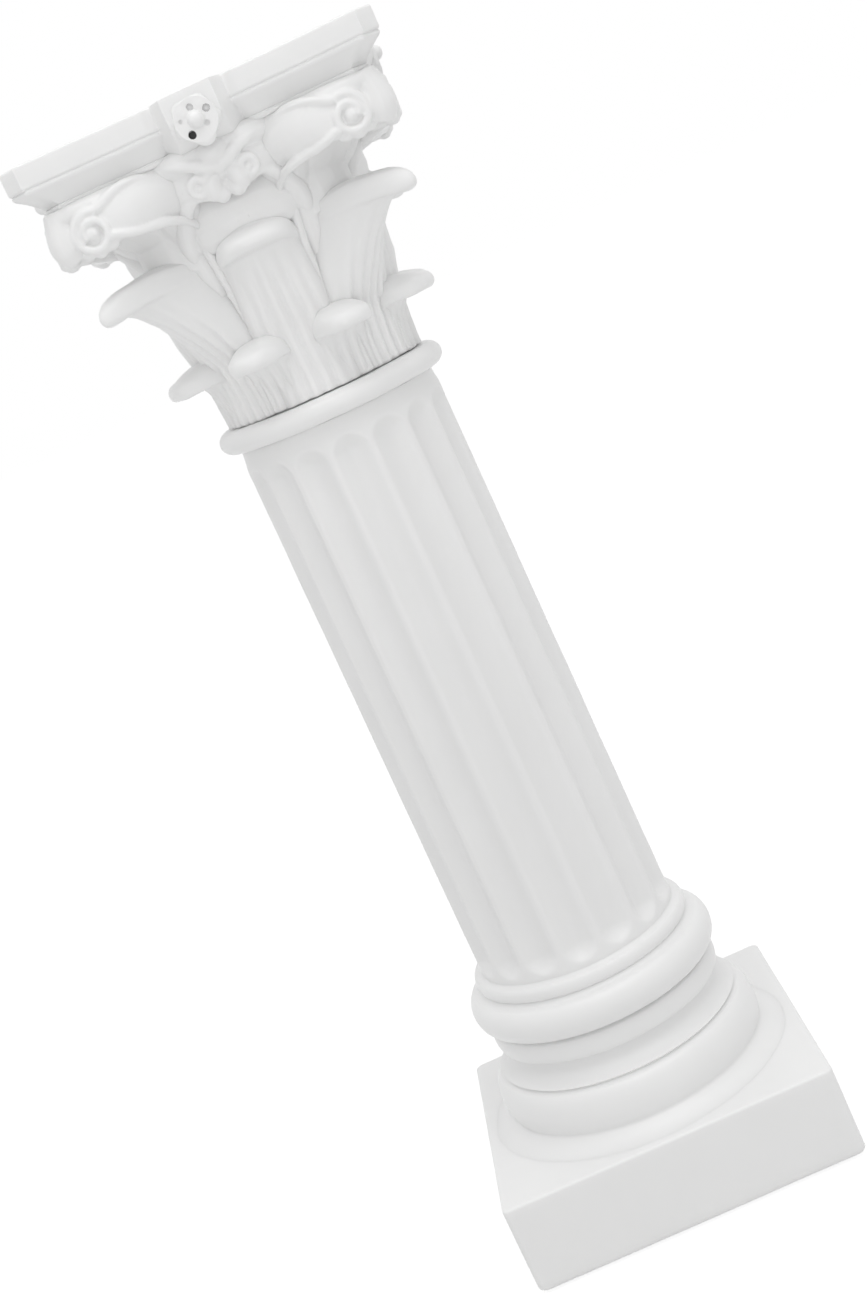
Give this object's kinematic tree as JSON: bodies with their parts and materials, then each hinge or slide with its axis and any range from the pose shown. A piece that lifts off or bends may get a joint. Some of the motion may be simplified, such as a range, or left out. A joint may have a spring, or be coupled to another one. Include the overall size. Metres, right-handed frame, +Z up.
{
  "type": "column pedestal",
  "caption": "Small white Corinthian column pedestal: square plinth, turned base, fluted shaft and a leafy capital with scrolls under a flat moulded top that carries a bust or vase.",
  "frame": {"origin": "middle of the underside, on the surface that the column stands on", "axes": "+Z up the column's axis; -Y out of the front face of the plinth, +X to the right of it"},
  "size_m": [0.0632, 0.0632, 0.2016],
  "materials": {
    "cast_resin": "satin white cast resin, slightly uneven, with soft edges",
    "felt": "short-napped pale felt",
    "rod_steel": "plain zinc-plated steel",
    "sleeve_brass": "turned brass"
  },
  "bodies": {
    "root": {"plinth": "cast_resin", "attic_base": "cast_resin", "shaft": "cast_resin", "astragal_ring": "cast_resin", "bell": "cast_resin", "abacus": "cast_resin", "lower_leaf_1": "cast_resin", "lower_leaf_2": "cast_resin", "lower_leaf_3": "cast_resin", "lower_leaf_4": "cast_resin", "lower_leaf_5": "cast_resin", "lower_leaf_6": "cast_resin", "lower_leaf_7": "cast_resin", "lower_leaf_8": "cast_resin", "upper_leaf_1": "cast_resin", "upper_leaf_2": "cast_resin", "upper_leaf_3": "cast_resin", "upper_leaf_4": "cast_resin", "corner_leaf_1": "cast_resin", "corner_leaf_2": "cast_resin", "corner_leaf_3": "cast_resin", "corner_leaf_4": "cast_resin", "stalk_1": "cast_resin", "stalk_2": "cast_resin", "stalk_3": "cast_resin", "stalk_4": "cast_resin", "stalk_5": "cast_resin", "stalk_6": "cast_resin", "stalk_7": "cast_resin", "stalk_8": "cast_resin", "centre_scroll_1": "cast_resin", "centre_scroll_2": "cast_resin", "centre_scroll_3": "cast_resin", "centre_scroll_4": "cast_resin", "corner_volute_1": "cast_resin", "corner_volute_2": "cast_resin", "corner_volute_3": "cast_resin", "corner_volute_4": "cast_resin", "rosette_1": "cast_resin", "rosette_2": "cast_resin", "rosette_3": "cast_resin", "rosette_4": "cast_resin", "base_felt": "felt", "tie_rod": "rod_steel", "rod_nut": "rod_steel", "rod_washer": "rod_steel", "top_sleeve": "sleeve_brass"}
  },
  "joints": []
}
